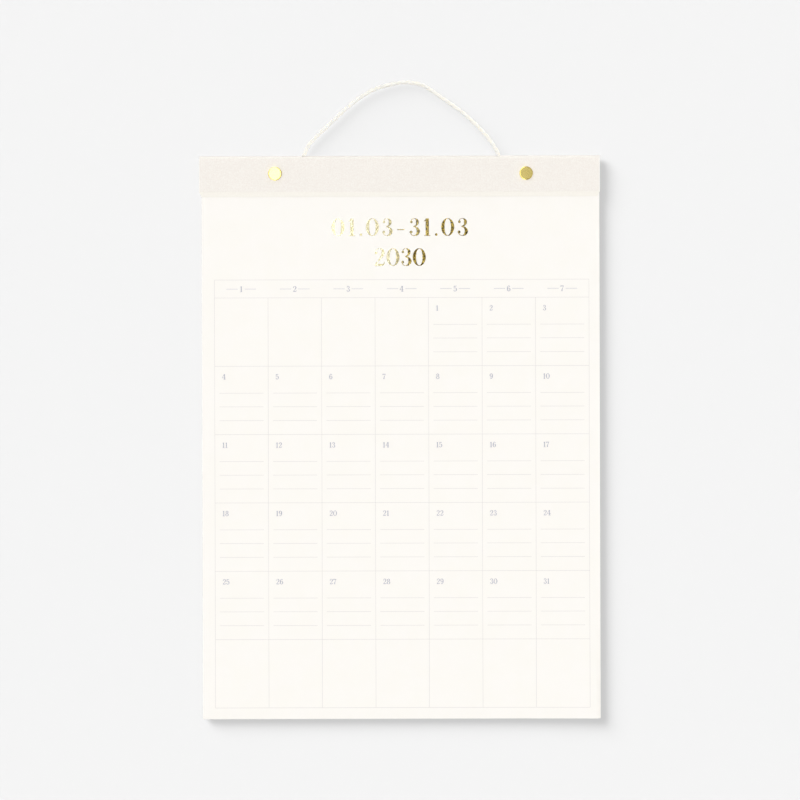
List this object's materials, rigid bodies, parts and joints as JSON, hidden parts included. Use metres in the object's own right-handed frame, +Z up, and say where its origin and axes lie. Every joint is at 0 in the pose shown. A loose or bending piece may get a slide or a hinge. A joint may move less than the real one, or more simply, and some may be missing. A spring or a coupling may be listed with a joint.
{
  "type": "wall calendar",
  "caption": "Large wall calendar: month sheets and a backing board in a folded linen-faced header, held by brass posts and hung from a cotton cord.",
  "frame": {"origin": "the point where a nail or hook carries the calendar, under the top of the hanging cord's arch and in the plane of the cord", "axes": "+Z up as it hangs, +X to the right as the calendar is read, and the printed side faces -Y"},
  "size_m": [0.299, 0.0098, 0.477],
  "materials": {
    "header_linen": "fine linen weave on cream card",
    "cream_paper": "smooth uncoated, warm cream white",
    "greyboard": "matt, finely flecked",
    "brass": "polished",
    "cotton_cord": "twisted cream cotton"
  },
  "bodies": {
    "root": {"header_cover": "header_linen", "sheet_block": "cream_paper", "backing_board": "greyboard", "binding_post_left": "brass", "binding_post_right": "brass", "binding_screw_left": "brass", "binding_screw_right": "brass", "hanging_cord": "cotton_cord", "cord_knot_left": "cotton_cord", "cord_knot_right": "cotton_cord"}
  },
  "joints": []
}
